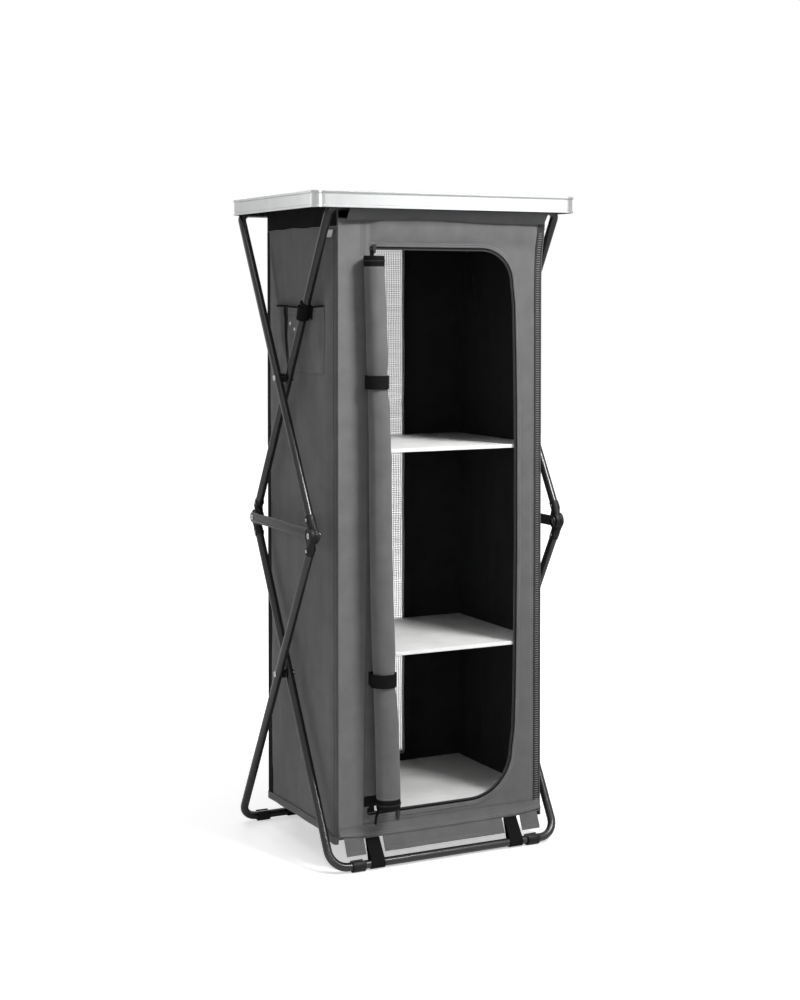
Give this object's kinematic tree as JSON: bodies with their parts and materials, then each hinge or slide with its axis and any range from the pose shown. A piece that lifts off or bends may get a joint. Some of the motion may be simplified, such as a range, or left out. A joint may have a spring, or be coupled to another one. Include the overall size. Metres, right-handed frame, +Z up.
{
  "type": "folding camping cupboard",
  "caption": "Folding camping cupboard: fabric cabinet with a roll-up door and shelves, carried by scissor-folding U-shaped tube frames under a lift-off tabletop.",
  "frame": {"origin": "on the floor, under the middle of the outline in plan, the rolled door included", "axes": "+Z up, -Y towards the door, +X to the right of someone who faces the door"},
  "size_m": [0.565, 0.4408, 1.27],
  "materials": {
    "grey_cloth": "woven polyester, matt",
    "black_lining": "woven polyester, matt",
    "black_webbing": "webbing and zip tape, matt",
    "white_mesh": "fine knitted mesh, matt",
    "black_plastic": "moulded, satin",
    "coated_tube": "dark grey powder coat, satin",
    "plated_steel": "zinc plated, bright",
    "aluminium_edge": "brushed extrusion",
    "white_board": "white laminate, satin",
    "shelf_board": "light grey board, matt"
  },
  "bodies": {
    "cabinet": {"side_panel_left": "grey_cloth", "side_panel_right": "grey_cloth", "front_panel": "grey_cloth", "back_panel": "grey_cloth", "back_mesh": "white_mesh", "floor_panel": "black_lining", "roof_panel": "black_lining", "base_board": "shelf_board", "door_zip_tape": "black_webbing", "door_roll": "grey_cloth", "door_strap_upper": "black_webbing", "door_strap_lower": "black_webbing", "side_pocket": "grey_cloth", "bottom_flap": "grey_cloth", "front_floor_strap_left": "black_webbing", "front_floor_strap_right": "black_webbing"},
    "lower_front": {"lower_front_frame": "coated_tube", "front_foot_left": "black_plastic", "front_foot_right": "black_plastic", "back_mid_lower_knuckle_left": "black_plastic", "back_mid_lower_knuckle_right": "black_plastic", "back_mid_pin_left": "plated_steel", "back_mid_pin_right": "plated_steel", "lower_cross_rivet_left": "plated_steel", "lower_cross_rivet_right": "plated_steel", "lower_cross_spacer_left": "black_plastic", "lower_cross_spacer_right": "black_plastic"},
    "lower_back": {"lower_back_frame": "coated_tube", "rear_foot_left": "black_plastic", "rear_foot_right": "black_plastic", "front_mid_lower_knuckle_left": "black_plastic", "front_mid_lower_knuckle_right": "black_plastic", "front_mid_pin_left": "plated_steel", "front_mid_pin_right": "plated_steel", "rear_floor_strap_left": "black_webbing", "rear_floor_strap_right": "black_webbing"},
    "upper_front": {"upper_front_frame": "coated_tube", "back_mid_upper_knuckle_left": "black_plastic", "back_mid_upper_knuckle_right": "black_plastic", "upper_cross_rivet_left": "plated_steel", "upper_cross_rivet_right": "plated_steel", "upper_cross_spacer_left": "black_plastic", "upper_cross_spacer_right": "black_plastic"},
    "upper_back": {"upper_back_frame": "coated_tube", "front_mid_upper_knuckle_left": "black_plastic", "front_mid_upper_knuckle_right": "black_plastic"},
    "lock_left": {"lock_bar_left": "coated_tube"},
    "lock_right": {"lock_bar_right": "coated_tube"},
    "front_saddles": {"front_saddle_left": "black_plastic", "front_saddle_right": "black_plastic", "top_front_sleeve": "grey_cloth"},
    "rear_saddles": {"rear_saddle_left": "black_plastic", "rear_saddle_right": "black_plastic", "top_rear_sleeve": "grey_cloth"},
    "table": {"table_edge_frame": "aluminium_edge", "table_board": "white_board"},
    "lower_shelf": {"lower_shelf": "shelf_board"},
    "upper_shelf": {"upper_shelf": "shelf_board"},
    "upper_zip_pull": {"upper_zip_pull": "plated_steel"},
    "lower_zip_pull": {"lower_zip_pull": "plated_steel"}
  },
  "joints": [
    {"name": "fold", "type": "hinge", "parent": "cabinet", "child": "lower_front", "pos_m": [0, -0.1856, 0.0115], "axis": [-1, 0, 0], "range_deg": [0, 54], "deforming": ["side_panel_left", "side_panel_right", "front_panel", "back_panel", "back_mesh", "roof_panel", "door_zip_tape", "door_roll", "door_strap_upper", "door_strap_lower", "side_pocket"]},
    {"name": "lower_scissor", "type": "hinge", "parent": "lower_front", "child": "lower_back", "pos_m": [0, 0.0104, 0.34331], "axis": [1, 0, 0], "range_deg": [0, 108]},
    {"name": "back_mid", "type": "hinge", "parent": "lower_front", "child": "upper_front", "pos_m": [0, 0.1704, 0.63089], "axis": [1, 0, 0], "range_deg": [0, 108]},
    {"name": "front_mid", "type": "hinge", "parent": "lower_back", "child": "upper_back", "pos_m": [0, -0.1496, 0.63089], "axis": [-1, 0, 0], "range_deg": [0, 108]},
    {"name": "front_level", "type": "hinge", "parent": "upper_front", "child": "front_saddles", "pos_m": [0, -0.1816, 1.2435], "axis": [-1, 0, 0], "range_deg": [0, 54]},
    {"name": "rear_level", "type": "hinge", "parent": "upper_back", "child": "rear_saddles", "pos_m": [0, 0.2024, 1.2435], "axis": [1, 0, 0], "range_deg": [0, 54]},
    {"name": "lock_left_level", "type": "hinge", "parent": "lower_front", "child": "lock_left", "pos_m": [-0.25475, 0.1704, 0.63089], "axis": [1, 0, 0], "range_deg": [0, 54]},
    {"name": "lock_right_level", "type": "hinge", "parent": "lower_front", "child": "lock_right", "pos_m": [0.25475, 0.1704, 0.63089], "axis": [1, 0, 0], "range_deg": [0, 54]},
    {"name": "table_lift", "type": "slide", "parent": "front_saddles", "child": "table", "axis": [0, 0, 1], "range_m": [0, 0.1]},
    {"name": "lower_shelf_drop", "type": "slide", "parent": "cabinet", "child": "lower_shelf", "axis": [0, 0, -1], "range_m": [0, 0.2956]},
    {"name": "upper_shelf_drop", "type": "slide", "parent": "cabinet", "child": "upper_shelf", "axis": [0, 0, -1], "range_m": [0, 0.6751]},
    {"name": "upper_zip", "type": "slide", "parent": "front_saddles", "child": "upper_zip_pull", "axis": [1, 0, 0], "range_m": [0, 0.2]},
    {"name": "lower_zip", "type": "slide", "parent": "cabinet", "child": "lower_zip_pull", "axis": [1, 0, 0], "range_m": [0, 0.1]}
  ],
  "couplings": [
    {"joint": "lower_scissor", "follows": "fold", "ratio": 2},
    {"joint": "back_mid", "follows": "fold", "ratio": 2},
    {"joint": "front_mid", "follows": "fold", "ratio": 2},
    {"joint": "front_level", "follows": "fold", "ratio": 1},
    {"joint": "rear_level", "follows": "fold", "ratio": 1},
    {"joint": "lock_left_level", "follows": "fold", "ratio": 1},
    {"joint": "lock_right_level", "follows": "fold", "ratio": 1},
    {"joint": "lower_shelf_drop", "follows": "fold", "m_per_rad": 0.31354},
    {"joint": "upper_shelf_drop", "follows": "fold", "m_per_rad": 0.7162}
  ]
}
